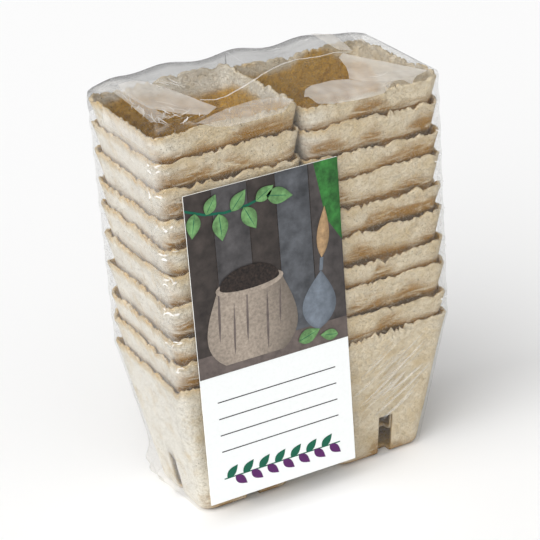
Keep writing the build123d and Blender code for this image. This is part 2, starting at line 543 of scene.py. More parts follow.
# The band at each strip's foot is partly stain and partly painted shade.
STAIN_SHADE_RISE = 0.0105  # the most that a stain climbs from the foot of its strip
STAIN_SHADE_SCALE, STAIN_SHADE_SEED_STEP = 2.6, 2.3
STAIN_SHADE_LEAN = {"left": 0.14, "right": 0.0}
STAIN_SHADE_END = (0.0005, 0.004)  # where the stain ends under the strip
# Painted shadow line in the gap just above the rim below.
GAP_SHADOW_LINE = (0.0016, 0.0003)  # the dark line's start and full strength over the strip's end
# Depths under the rim over which the walls that face the lamp get painted light.
PAINTED_LIGHT_SPAN = (0.0008, 0.0035)
# Painted light inside the top pots: where the inside stays pale under the rim as if lit, above golden
# painted shade: a direction, a depth, how narrow the patch is and how much painted light it gets.
CREAM = {"left": ((0.45, 0.89), 0.0075, 9, 0.8), "right": ((1.0, 0.0), 0.012, 4, 0.3)}
CREAM_SPAN = (0.001, 0.0045)
CREAM_WANDER, CREAM_SCALE = 0.006, 55


def inner_tones(depth, flat, around, seed, side, open_mouth):
    """How much golden painted shade and painted light the inside of a pot gets at a depth under its
    rim.
    """
    # Insides hidden in the stack are all in golden painted shade.
    if not open_mouth:
        return 1.0, 0.0
    (across, back), deep, narrow, bleach = CREAM[side]
    pale = deep * max(0.0, around.x * across + around.y * back) ** narrow
    spot = Vector((flat.x * CREAM_SCALE, flat.y * CREAM_SCALE, seed))
    pale -= CREAM_WANDER * noise.noise(spot)
    return fade(depth - pale, *CREAM_SPAN), bleach


def pot_tones(outer, depth, flat, seed, strip, side, open_mouth):
    """Stain with painted shade, inside (golden painted shade), edge and painted light at a depth under
    the rim of a pot with a strip in view.
    """
    around = flat.normalized()
    edge = max(0.0, 1 - depth / RIM_ZONE) ** 10 * (0.2 + 0.8 * max(0.0, -around.x))
    if not outer:
        inside, bleach = inner_tones(depth, flat, around, seed, side, open_mouth)
        return 0.0, inside, edge, bleach
    # Stain and painted shade at each strip's foot, stronger on the front, which gets less light.
    front = fade(-around.y, 0.6, 0.78)
    spot = Vector((around.x * STAIN_SHADE_SCALE, around.y * STAIN_SHADE_SCALE, seed * STAIN_SHADE_SEED_STEP))
    patch = fade(noise.noise(spot) + STAIN_SHADE_LEAN[side], -0.3, 0.3)
    rise = STAIN_SHADE_RISE * (0.35 + 0.65 * patch)
    stain = fade(depth, strip - rise, strip - 0.4 * rise)
    stain *= (0.6 + 0.4 * patch) * (0.08 + 0.92 * front)
    # Painted shadow line in the gap just above the rim below, stronger on the front.
    line_start, line_full = (strip - over for over in GAP_SHADOW_LINE)
    stain += (0.3 + (0.35 + 0.5 * patch) * front) * fade(depth, line_start, line_full)
    stain *= 1 - fade(depth, *(strip + under for under in STAIN_SHADE_END))
    # The last value is painted light on the walls that face the lamp.
    return stain, 0.0, edge, fade(-around.x, 0.45, 0.8) * fade(depth, *PAINTED_LIGHT_SPAN)


LUMP_SCALE, LUMP_SEED_STEP, LUMP_INNER_SHIFT = 160, 9.1, 40.0
TUFT, TUFT_SPREAD = 0.00035, 0.0003
TONES = ("stain", "inside", "edge", "bleach")
# GOLDEN marks the inner floor as golden painted shade.
PLAIN, GOLDEN = (0.0, 0.0, 0.0, 0.0), (0.0, 1.0, 0.0, 0.0)


def pot_layer(layer, rows, side, foot_z, seed, strip, open_mouth, pot):
    """Points and tones of a pot's outer or inner skin, ring by ring."""
    points, tones = [], []
    outer = layer == "outer"
    for row in rows:
        keys = ("half", "radius", "z") if outer else ("inner_half", "inner_radius", "inner_z")
        half, radius, z = (row[key] for key in keys)
        depth = POT_HEIGHT - row["z"]
        near_rim = max(0.0, 1 - depth / RIM_ZONE)
        thin = 0.0 if outer else RIM_THINNING * near_rim**4
        for flat, out in zip(*pot_ring(half, radius, pot, row["pinch"])):
            rise, bow = rim_profile(seed, pot, flat, -OUTWARDS[side]) if near_rim else (0.0, 0.0)
            shift = seed * LUMP_SEED_STEP + LUMP_INNER_SHIFT * (not outer)
            at = Vector((flat.x * LUMP_SCALE, flat.y * LUMP_SCALE, z * LUMP_SCALE + shift))
            lump = pot.lump * noise.noise(at) if row["z"] > pot.foot_radius else 0.0
            tones.append(pot_tones(outer, depth, flat, seed, strip, side, open_mouth))
            flat = flat + out * (lump + bow * near_rim**1.5 + thin)
            points.append((STACK_X[side] + flat.x, flat.y, foot_z + z + rise * near_rim**2))
    return points, tones


def build_pot(name, side, foot_z, seed, strip, open_mouth, pot, material):
    """One fibre pot with slotted walls, a lumpy skin and a ragged rim."""
    rows, slot_first, slot_last = pot_rows(pot, strip)
    centre_x, columns, top = STACK_X[side], 4 * SIDE_STEPS, len(rows) - 1
    points, tones, starts = [], [], {}
    for layer in ("outer", "inner"):
        starts[layer] = len(points)
        skin = pot_layer(layer, rows, side, foot_z, seed, strip, open_mouth, pot)
        points += skin[0]
        tones += skin[1]

    def spot(layer, i, j):
        return starts[layer] + i * columns + j % columns

    rim = []
    for j in range(columns):
        a, b = (Vector(points[spot(layer, top, j)]) for layer in ("outer", "inner"))
        tuft = TUFT + TUFT_SPREAD * noise.noise(Vector((j * 0.9, seed * 3.1, 0.0)))
        rim.append(len(points))
        points.append(tuple((a + b) / 2 + Vector((0, 0, tuft))))
        edge = 0.1 + 0.9 * max(0.0, (centre_x - a.x) / RIM_WIDTH * 2 - 0.5)
        tones.append((0.0, 0.0, edge, 0.0))

    slot_columns = {
        wall * SIDE_STEPS + FLAT_STEPS + k for wall in range(4) for k in range(SLOT_STEPS)
    }

    def kept(i, j):
        return not (slot_first <= i < slot_last and j % columns in slot_columns)

    faces = []
    for i in range(top):
        for j in range(columns):
            if not kept(i, j):
                continue
            corners = ((i, j), (i, j + 1), (i + 1, j + 1), (i + 1, j))
            faces.append(tuple(spot("outer", *c) for c in corners))
            faces.append(tuple(spot("inner", *c) for c in reversed(corners)))
            beside = ((i - 1, j), (i, j + 1), (i + 1, j), (i, j - 1))
            for k, (bi, bj) in enumerate(beside):
                if 0 <= bi < top and not kept(bi, bj):
                    p, q = corners[k], corners[(k + 1) % 4]
                    wall = (("outer", q), ("outer", p), ("inner", p), ("inner", q))
                    faces.append(tuple(spot(layer, *c) for layer, c in wall))
    for j in range(columns):
        k = (j + 1) % columns
        faces.append((spot("outer", top, j), spot("outer", top, k), rim[k], rim[j]))
        faces.append((rim[j], rim[k], spot("inner", top, k), spot("inner", top, j)))
    for layer, z, turn, tone in (("outer", 0.0, 1, PLAIN), ("inner", pot.floor, -1, GOLDEN)):
        middle = len(points)
        points.append((centre_x, 0.0, foot_z + z))
        tones.append(tone)
        for j in range(columns):
            face = (middle, spot(layer, 0, j + 1), spot(layer, 0, j))
            faces.append(face[::turn])
    piece = mesh_object(name, points, faces, material)
    for k, key in enumerate(TONES):
        point_values(piece, key, [t[k] for t in tones])
    return piece


STACK_SEED = {"left": 1, "right": 50}


class FIBREPACK_OT_pots(bpy.types.Operator):
    """Build the two stacks of nested fibre pots"""

    bl_idname = "fibrepack.pots"
    bl_label = "Fibre pots"

    def execute(self, context):
        pot = context.scene.fibre_pot
        material = fibre_material(pot)
        for side in SIDES:
            for number, node in enumerate(POT_NODES[side]):
                foot = FEET[side][number]
                strip = foot - FEET[side][number - 1] if number else POT_HEIGHT
                seed = number + STACK_SEED[side]
                open_mouth = node == POT_NODES[side][-1]
                name = f"{node}_fibre"
                piece = build_pot(name, side, foot, seed, strip, open_mouth, pot, material)
                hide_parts(node)
                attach(piece, BODY_OF[node])
        return {"FINISHED"}


# Film: each layer is a single sheet, and its values set how milky, grey and crinkled it looks; milky
# values also carry painted sheen and painted highlights.
def crease_relief(across, up, creases):
    """Height of straight creases, each from one place to another with its own height and width."""
    total = np.zeros_like(across)
    for (x0, y0), (x1, y1), height, width in creases:
        dx, dy = x1 - x0, y1 - y0
        along = np.clip(((across - x0) * dx + (up - y0) * dy) / (dx * dx + dy * dy), 0, 1)
        gap = np.hypot(across - x0 - along * dx, up - y0 - along * dy)
        total += height * np.exp(-((gap / width) ** 2)) * np.sin(np.pi * np.clip(along, 0.05, 0.95))
    return total


def crease(start, tip, heights, widths, film, rng):
    """A crease between two places, with its height and width drawn from ranges."""
    return start, tip, film.crease * rng.uniform(*heights), rng.uniform(*widths)


def onwards(start, angle, reach):
    """The place at an angle and a distance from another."""
    return start[0] + reach * math.cos(angle), start[1] + reach * math.sin(angle)


def smooth_step(value, low, high):
    """The same as fade, for arrays."""
    t = np.clip((value - low) / (high - low), 0, 1)
    return t * t * (3 - 2 * t)


SLEEVE_ROWS = 112
SLEEVE_FRONT_STEPS = 72
SLEEVE_SIDE_STEPS = 36
SLEEVE_CORNER_STEPS = 8
GLINT_LIFT = 0.0007
# Half of the width over which the film passes from the left stack's rims to the right one's.
STACKS_MEET = 0.006
RIM_BULGE_HALF = 0.0024
CORNER_CREASES, LONG_CREASES = 16, 46
CORNER_SHIFT = 0.004
# Slack film at the back of the left side's foot: where it starts and is full along X, its middle
# and spread in depth and height, and the rates of its waves.
SLACK_SPAN = (0.03, 0.045)
SLACK_MIDDLE, SLACK_SPREAD = (0.012, 0.0075), (0.014, 0.0065)
SLACK_REACH = 0.0042
SLACK_RATES = (620, 520, 300)
CARD_MARGIN, CARD_GAP = 0.002, 0.00015
# Where the left side's film catches the light, by its turn, depth and height.
GLARE_TURN, GLARE_DEPTH, GLARE_HEIGHT = (0.4, 0.95), (0.004, 0.026), (0.134, 0.152)
# Where the corners crinkle, across and in depth.
CRINKLE_ACROSS, CRINKLE_DEEP = (0.048, 0.058), (0.016, 0.027)


def sleeve_loop():
    """The film's path round the pack, as shares of the half sizes, turns, and if at a corner."""
    loop = []
    sides = (
        (SLEEVE_FRONT_STEPS, (-1, -1), (1, -1), (0, -1)),
        (SLEEVE_SIDE_STEPS, (1, -1), (1, 1), (1, 0)),
        (SLEEVE_FRONT_STEPS, (1, 1), (-1, 1), (0, 1)),
        (SLEEVE_SIDE_STEPS, (-1, 1), (-1, -1), (-1, 0)),
    )
    for steps, start, end, out in sides:
        turn = math.atan2(out[1], out[0])
        for k in range(steps):
            x, y = (a + (b - a) * k / steps for a, b in zip(start, end))
            loop.append((x, y, turn, False))
        for k in range(SLEEVE_CORNER_STEPS):
            loop.append((*end, turn + math.pi / 2 * k / SLEEVE_CORNER_STEPS, True))
    return loop


def sleeve_creases(corner_places, length, film, rng):
    """Creases of the sleeve: short ones at its corners and longer ones anywhere."""
    creases = []
    for place in corner_places:
        for k in range(CORNER_CREASES):
            start = rng.uniform(0.012, SLEEVE_HIGH.z)
            reach = rng.uniform(0.004, 0.016) * rng.choice((-1, 1))
            slope = rng.uniform(-0.5, 0.5)
            first = (place + CORNER_SHIFT, start)
            tip = (first[0] + reach, start + slope * reach)
            creases.append(crease(first, tip, (0.3, 0.9), (0.0006, 0.0015), film, rng))
    for k in range(LONG_CREASES):
        first = (rng.uniform(0, length), rng.uniform(0.01, SLEEVE_HIGH.z))
        tip = onwards(first, rng.uniform(-0.6, 0.6), rng.uniform(0.010, 0.034))
        creases.append(crease(first, tip, (0.2, 0.55), (0.0007, 0.002), film, rng))
    return creases


def film_sleeve_points(film, pot, rng):
    """Points of the film round the sides, row by row from the hem, with values for its material."""
    loop = sleeve_loop()
    heights = np.linspace(SLEEVE_LOW.z, SLEEVE_HIGH.z, SLEEVE_ROWS)
    draw_in = pot_taper(pot) * np.maximum(POT_HEIGHT - heights, 0)[:, None]
    share_x, share_y, turn = (np.array([p[k] for p in loop])[None, :] for k in range(3))
    out_x, out_y = np.cos(turn), np.sin(turn)
    radius = pot.rim_corner
    x = share_x * (PACK_HALF_WIDTH - draw_in - radius) + radius * out_x
    y = share_y * (PACK_HALF_DEPTH - draw_in - radius) + radius * out_y
    z = heights[:, None] + np.zeros_like(x)
    out = film.stand_off + np.zeros_like(x)
    share = smooth_step(x, -STACKS_MEET, STACKS_MEET)
    for side, weight in (("left", 1 - share), ("right", share)):
        for rim in RIMS[side]:
            out += weight * film.rim_bulge * np.exp(-(((z - rim) / RIM_BULGE_HALF) ** 2))
    around = np.cumsum(np.r_[0, np.hypot(np.diff(x[-1]), np.diff(y[-1]))])
    corners = [around[k] for k in range(len(loop)) if loop[k][3] and not loop[k - 1][3]]
    creases = sleeve_creases(corners, around[-1], film, rng)
    out += crease_relief(around[None, :] + np.zeros_like(x), z, creases)
    slack = smooth_step(-x, *SLACK_SPAN)
    for place, middle, spread in zip((y, z), SLACK_MIDDLE, SLACK_SPREAD):
        slack = slack * np.exp(-(((place - middle) / spread) ** 2))
    deep, up, slant = SLACK_RATES
    out += SLACK_REACH * slack * (1 + 0.3 * np.sin(y * deep) * np.sin(z * up + y * slant))
    under_card = y < 0
    for place, low, high in ((x, CARD_LOW.x, CARD_HIGH.x), (z, CARD_LOW.z, CARD_HIGH.z)):
        under_card &= (place > low - CARD_MARGIN) & (place < high + CARD_MARGIN)
    seat = -PACK_HALF_DEPTH - CARD_HIGH.y - CARD_GAP
    out = np.where(under_card, np.minimum(out, seat), out)
    haze = 0.03 + 0.10 * smooth_step(slack, 0.15, 0.8)
    haze += 0.18 * smooth_step(out, 0.0014, 0.002) * (1 - smooth_step(slack, 0.1, 0.4))
    # Painted sheen on the film's lit left side, added as milk.
    glare = smooth_step(-out_x, *GLARE_TURN) * (1 - smooth_step(y, *GLARE_DEPTH))
    haze += glare * (0.10 + 0.16 * smooth_step(z, *GLARE_HEIGHT))
    corner = smooth_step(np.abs(x), *CRINKLE_ACROSS) * smooth_step(np.abs(y), *CRINKLE_DEEP)
    points = np.stack([x + out * out_x, y + out * out_y, z], axis=-1)
    values = {"haze": haze.reshape(-1), "crinkle": (0.08 + 0.5 * corner).reshape(-1)}
    return points.reshape(-1, 3), values, len(loop)


SLEEVE_SEED, GLINT_SEED, STREAK_SEED = 4, 9, 12
# Glints at each rim, and how far under it they lie.
GLINTS = {"left": 5, "right": 2}
GLINT_DROP = 0.0012
STREAKS = 22
STREAK_ANGLE, STREAK_BEND = 0.62, 0.1


class FIBREPACK_OT_film_sleeve(bpy.types.Operator):
    """Build the clear film round the sides of the stacks"""

    bl_idname = "fibrepack.film_sleeve"
    bl_label = "Film sleeve"

    def execute(self, context):
        film, pot = context.scene.fibre_film, context.scene.fibre_pot
        points, values, columns = film_sleeve_points(film, pot, random.Random(SLEEVE_SEED))
        material = film_material("clear_film", film, 0.9, film.haze)
        faces = grid_faces(SLEEVE_ROWS, columns, closed=True)
        piece = mesh_object("film_sleeve_sheet", points, faces, material)
        for key, numbers in values.items():
            point_values(piece, key, numbers)
        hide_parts("film_sleeve")
        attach(piece, BODY_OF["film_sleeve"])
        self.glints(film, pot, random.Random(GLINT_SEED))
        self.streaks(film, pot, random.Random(STREAK_SEED))
        return {"FINISHED"}

    def glints(self, film, pot, rng):
        """Painted glints: bright slivers of film at the front corners of the rims."""
        radius = pot.rim_corner + film.stand_off + GLINT_LIFT

        def wrap(sign):
            def place(along, z):
                turn = min(max(along / radius, -math.pi / 4), math.pi / 4)
                straight = abs(along - turn * radius)
                angle = -math.pi / 4 + turn
                x = PACK_HALF_WIDTH - pot.rim_corner + radius * math.cos(angle)
                y = pot.rim_corner - PACK_HALF_DEPTH + radius * math.sin(angle)
                return sign * (x - straight * (turn < 0)), y + straight * (turn > 0), z

            return place

        material = film_material("film_glint", film, 1.0, film.glint)
        body = BODY_OF["film_sleeve"]
        for side, count in GLINTS.items():
            slivers = []
            for rim in RIMS[side][1:-1]:
                for k in range(count):
                    spot = (rng.gauss(0, 0.0022), rim - GLINT_DROP + rng.gauss(0, 0.0011))
                    length, width = rng.uniform(0.0012, 0.0038), rng.uniform(0.0003, 0.0010)
                    angle, bend = rng.gauss(0, 0.5), rng.uniform(-0.8, 0.8)
                    slivers.append((spot, angle, length, width, bend, rng.uniform(0.45, 1.0)))
            place = wrap(OUTWARDS[side])
            sliver_sheet(f"film_glints_{side}", slivers, place, material, body)

    def streaks(self, film, pot, rng):
        """Painted highlights along long faint tension streaks in the film over the front of the right
        bottom pot.
        """

        def place(x, z):
            wall = pot_taper(pot) * max(POT_HEIGHT - z, 0) - PACK_HALF_DEPTH
            return x, wall - film.stand_off - GLINT_LIFT, z

        slivers = []
        for k in range(STREAKS):
            spot = (rng.uniform(0.027, 0.042), rng.uniform(0.022, 0.054))
            length, width = rng.uniform(0.014, 0.032), rng.uniform(0.0005, 0.0018)
            angle = STREAK_ANGLE + rng.gauss(0, 0.08)
            slivers.append((spot, angle, length, width, STREAK_BEND, rng.uniform(0.08, 0.3)))
        # The streaks are painted highlights in the glint colour.
        material = film_material("film_streak", film, 1.0, film.glint)
        sliver_sheet("film_streaks", slivers, place, material, BODY_OF["film_sleeve"])


TOP_STEP = 0.001
TOP_SKIRT_ROWS = 5
SKIRT_BELLOW = 0.00035
SKIRT_MIDDLE = 0.012  # from the outer end to the place that the skirt swells away from
SEAT_HALF = 0.016  # half of the width over which the lower stack's film rises to meet the other
END_SPAN = (-0.001, 0.016)
# Waves along the film's back, as height, rate and phase.
CREST_WAVES = ((0.0008, 210, 0.8), (0.0005, 87, -1.2))
CREST_SPAN = (0.008, 0.030)
FAN_CREASES, LOOSE_CREASES = 9, 14
TOP_CREASE_WIDTHS = (0.0006, 0.0016)
SHADE_SPAN, SHADE_EDGE = (0.024, 0.029), 0.028
TOP_CRINKLE_ACROSS, TOP_CRINKLE_DEEP = (0.040, 0.058), (0.008, 0.027)
BORDER_SPAN = (0.0, 0.004)  # the creases ease off towards the edge
# Painted sheen: the skirt is milkier on the lit left end, up to a depth.
SKIRT_LIT_END, SKIRT_LIT_DEPTH = 0.0012, 0.012
SKIRT_LIT_MILK, SKIRT_MILK = 0.3, 0.03


def top_height(side, x, y, film):
    """Height of the film's top over one stack at a place."""
    rim = RIMS[side][-1]
    highest = max(rims[-1] for rims in RIMS.values())
    share = smooth_step(y, -PACK_HALF_DEPTH, PACK_HALF_DEPTH * 1.15)
    rise = (film.back_crest - film.front_crest) * share
    meet = (highest - rim) * np.exp(-((np.abs(x) / SEAT_HALF) ** 2))
    end = smooth_step(PACK_HALF_WIDTH - np.abs(x), *END_SPAN)
    wave = sum(height * np.sin(x * rate + phase) for height, rate, phase in CREST_WAVES)
    wave = wave * smooth_step(y, *CREST_SPAN) * end
    return rim + film.front_crest + rise * (0.4 + 0.6 * end) + meet + wave


def top_creases(side, film, rng):
    """Creases of the film's top that fan out from its corners and cross its middle."""
    sign = OUTWARDS[side]
    creases = []
    for y_end in (-1, 1):
        corner = (sign * PACK_HALF_WIDTH * 0.97, y_end * PACK_HALF_DEPTH * 0.95)
        for k in range(FAN_CREASES):
            angle = math.pi / 2 * (k + rng.uniform(0.1, 0.9)) / FAN_CREASES
            reach = rng.uniform(0.012, 0.042)
            away = (-sign * math.cos(angle), -y_end * math.sin(angle))
            tip = tuple(c + reach * a for c, a in zip(corner, away))
            creases.append(crease(corner, tip, (0.5, 1.3), TOP_CREASE_WIDTHS, film, rng))
    for k in range(LOOSE_CREASES):
        start = (sign * rng.uniform(0.004, 0.055), rng.uniform(-0.027, 0.027))
        tip = onwards(start, rng.uniform(-1.2, 1.2), rng.uniform(0.010, 0.030))
        creases.append(crease(start, tip, (0.3, 0.9), TOP_CREASE_WIDTHS, film, rng))
    return creases


def round_corner(x, y, radius, half_x, half_y):
    """Moves a rectangle's points so that its outer corners become round."""
    u = np.clip((np.abs(x) - (half_x - radius)) / radius, 0, 1)
    v = np.clip((np.abs(y) - (half_y - radius)) / radius, 0, 1)
    new_u, new_v = u * np.sqrt(1 - v * v / 2), v * np.sqrt(1 - u * u / 2)
    return x + np.sign(x) * radius * (new_u - u), y + np.sign(y) * radius * (new_v - v)


def film_top_mesh(side, film, pot, rng):
    """Points, faces and material values of one half of the film's top with its skirt."""
    sign = OUTWARDS[side]
    low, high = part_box(f"film_top_{side}")
    half_x, half_y = PACK_HALF_WIDTH + film.stand_off, PACK_HALF_DEPTH + film.stand_off
    split = min(abs(low.x), abs(high.x))
    columns = int((half_x - split) / TOP_STEP) + 1
    rows = int(2 * half_y / TOP_STEP) + 1
    across = sign * np.linspace(split, half_x, columns)[None, :] + np.zeros((rows, 1))
    deep = np.linspace(-half_y, half_y, rows)[:, None] + np.zeros((1, columns))
    x, y = round_corner(across, deep, pot.rim_corner + film.stand_off, half_x, half_y)
    relief = np.abs(crease_relief(x, y, top_creases(side, film, rng)))
    border = np.minimum(half_x - np.abs(across), half_y - np.abs(deep))
    z = top_height(side, x, y, film) + relief * smooth_step(border, *BORDER_SPAN)
    corner = smooth_step(np.abs(x), *TOP_CRINKLE_ACROSS)
    corner = corner * smooth_step(np.abs(y), *TOP_CRINKLE_DEEP)
    values = {
        "haze": 0.008 + 0.25 * smooth_step(relief, 0.0003, 0.0009),
        "shade": smooth_step(deep, *SHADE_SPAN),
        "crinkle": 0.12 + 0.7 * corner,
    }
    values = {key: list(numbers.reshape(-1)) for key, numbers in values.items()}
    points = list(map(tuple, np.stack([x, y, z], axis=-1).reshape(-1, 3)))
    faces = grid_faces(rows, columns)
    rim = list(range(columns))
    rim += [i * columns + columns - 1 for i in range(1, rows)]
    rim += [(rows - 1) * columns + j for j in reversed(range(columns - 1))]
    middle = Vector((sign * (half_x - SKIRT_MIDDLE), 0.0))
    above = rim
    for k in range(1, TOP_SKIRT_ROWS + 1):
        share = k / TOP_SKIRT_ROWS
        row = []
        for n, index in enumerate(rim):
            px, py, pz = points[index]
            swell = SKIRT_BELLOW * math.sin(share * math.pi) * (1 + math.sin(n * 0.7))
            out = (Vector((px, py)) - middle).normalized() * swell
            row.append(len(points))
            points.append((px + out.x, py + out.y, pz + (low.z - pz) * share))
            # Painted sheen on the lit left end of the skirt.
            lit = px < SKIRT_LIT_END - half_x and py < SKIRT_LIT_DEPTH
            values["haze"].append(SKIRT_LIT_MILK if lit else SKIRT_MILK)
            values["shade"].append(1.0 if py > SHADE_EDGE else 0.0)
            values["crinkle"].append(0.2)
        faces += [(above[n], row[n], row[n + 1], above[n + 1]) for n in range(len(rim) - 1)]
        above = row
    return points, [face[::sign] for face in faces], values


# Folded layers of film on the top, as pairs of edges in millimetres from the pack's middle.
FOLDS = {
    "left": (
        (
            ((-50.7, 21), (-42.8, 20.9), (-39.5, 14), (-33.8, -1.7), (-29.1, -18.6)),
            ((-51.3, 18), (-51.8, 6.2), (-50.2, -6), (-42.7, -17.4), (-35.5, -23.4)),
            0.55,
        ),
        (((-54.5, 20), (-54.5, 4), (-55.5, -18.5)), ((-51, 14.3), (-50, -0.4), (-48, -17.5)), 0.4),
        (
            ((-43, -29.5), (-35, -25.5), (-26.5, -22.5), (-15, -21), (-5, -25), (-3, -29.5)),
            ((-43, -29.8), (-37, -30.8), (-30, -31.2), (-19, -31.2), (-8, -31.1), (-3, -29.8)),
            0.36,
        ),
    ),
    "right": (
        (
            ((35.1, 2.9), (38.9, 6.3), (41.8, 0.1), (49.1, -11.4), (56.5, -27)),
            ((32.1, -9.3), (27.5, -17.6), (31, -23), (38, -28.5), (47, -30.9), (56, -27.5)),
            0.6,
        ),
        (
            (
                (1.7, -29), (6, -22), (10.9, -18.2), (21, -16.1),
                (26.8, -18.0), (33, -25), (40, -29.6),
            ),
            (
                (1.7, -29.4), (6, -31), (12, -31.2), (20, -31.2),
                (28, -31.2), (35, -31.1), (40, -29.9),
            ),
            0.5,
        ),
        (((37, 28.4), (46, 26.8)), ((38.6, 9.3), (42.8, 5.3)), 0.52),
    ),
}
SEAM = (
    (-31.5, -10.2), (-26.8, -13.3), (-22.4, -12.8), (-12.9, -8.3), (-3, -3),
    (11, 4.9), (19.3, 7.9), (28.8, 6.7), (35.8, 7.2), (41.7, 4.2),
)
SEAM_JOIN = (0.2, -1.2)  # where the seam reaches the split between the halves
SEAM_WIDTH = 0.0008
SEAM_HAZE, SEAM_STEPS = 0.7, (40, 2)
EDGE_DRAPE = 3.0  # how steeply a fold hangs over the front edge
# Heights of the layers over the film's top.
FOLD_LIFT, FOLD_LIFT_STEP, CRUMPLE_LIFT, SEAM_LIFT = 0.0008, 0.00015, 0.0011, 0.0013
FOLD_RIPPLE, FOLD_RIPPLE_SCALE = 0.00025, 260
FOLD_GRAIN = (330, 110)
FOLD_STEPS = (28, 10)
MILLIMETRE = 0.001
ROUNDING = 1e-9


def from_millimetres(line):
    """Places in millimetres as places in metres."""
    return [tuple(v * MILLIMETRE for v in place) for place in line]


def along_line(line, share):
    """Place at a share of a broken line's length."""
    lengths = [math.dist(a, b) for a, b in zip(line, line[1:])]
    left = share * sum(lengths)
    for (a, b), length in zip(zip(line, line[1:]), lengths):
        if left <= length + ROUNDING:
            return tuple(p + (q - p) * left / length for p, q in zip(a, b))
        left -= length
    return line[-1]


def lying_strip(name, side, first, second, film, material, haze, lift, steps=FOLD_STEPS):
    """A film layer between two lines that lies on the film's top."""
    points, milk_and_highlight = [], []
    for i in range(steps[1] + 1):
        across = i / steps[1]
        for j in range(steps[0] + 1):
            a, b = along_line(first, j / steps[0]), along_line(second, j / steps[0])
            x, y = (p + (q - p) * across for p, q in zip(a, b))
            spot = Vector((x * FOLD_RIPPLE_SCALE, y * FOLD_RIPPLE_SCALE, 3.0))
            ripple = FOLD_RIPPLE * noise.noise(spot)
            z = float(top_height(side, np.array(x), np.array(y), film)) + lift + abs(ripple)
            z -= EDGE_DRAPE * max(0.0, -PACK_HALF_DEPTH - y)
            points.append((x, y, z))
            grain = noise.noise(Vector((x * FOLD_GRAIN[0], y * FOLD_GRAIN[1], 7.0)))
            milk_and_highlight.append(haze * (0.92 + 0.24 * grain))
    piece = mesh_object(name, points, grid_faces(steps[1] + 1, steps[0] + 1), material)
    point_values(piece, "haze", milk_and_highlight)
    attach(piece, BODY_OF[f"film_top_{side}"])


# Painted highlights on crumpled film on the top, as a middle and half lengths in millimetres, a count
# and a main angle.
CRUMPLES = {
    "left": (
        ((-48, -15), (7, 11), 20, -1.35),
        ((-46, -18), (9, 8), 12, 0.35),
        ((-53.5, 0), (1.5, 16), 14, 1.45),
        ((-34, 12), (4, 6), 7, -1.1),
        ((-25, -26), (18, 1), 6, 0.1),
    ),
    "right": (
        ((54, 20), (6, 8), 16, 1.2),
        ((40, -22), (14, 4), 10, -0.6),
        ((20, 24), (16, 3), 6, -0.1),
    ),
}
CRUMPLE_MARGIN = (0.007, 0.006)
THIN_SLIVER = 0.0006  # wider slivers are fainter
SLIVER_STEPS = 8
TOP_SEED = {"left": 21, "right": 34}


def sliver_lines(middle, angle, length, width, bend):
    """The two sides of a bent sliver that is pointed at both ends."""
    sides = ([], [])
    for k in range(SLIVER_STEPS + 1):
        t = k / SLIVER_STEPS
        turn = angle + bend * (t - 0.5)
        u = middle[0] + length * (t - 0.5) * math.cos(turn)
        v = middle[1] + length * (t - 0.5) * math.sin(turn)
        half = width / 2 * math.sin(math.pi * t) ** 0.7
        for side, sign in zip(sides, (1, -1)):
            side.append((u - sign * half * math.sin(turn), v + sign * half * math.cos(turn)))
    return sides


def sliver_sheet(name, slivers, place, material, body):
    """One mesh of many film slivers, each a shape and its milk, set out by a place function; for
    glints, streaks and crumples the milk is a painted highlight.
    """
    points, faces, milk_and_highlight = [], [], []
    for *shape, haze in slivers:
        start = len(points)
        points += [place(*p) for line in sliver_lines(*shape) for p in line]
        faces += [tuple(start + k for k in face) for face in grid_faces(2, SLIVER_STEPS + 1)]
        milk_and_highlight += [haze] * (2 * SLIVER_STEPS + 2)
    piece = mesh_object(name, points, faces, material)
    point_values(piece, "haze", milk_and_highlight)
    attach(piece, body)


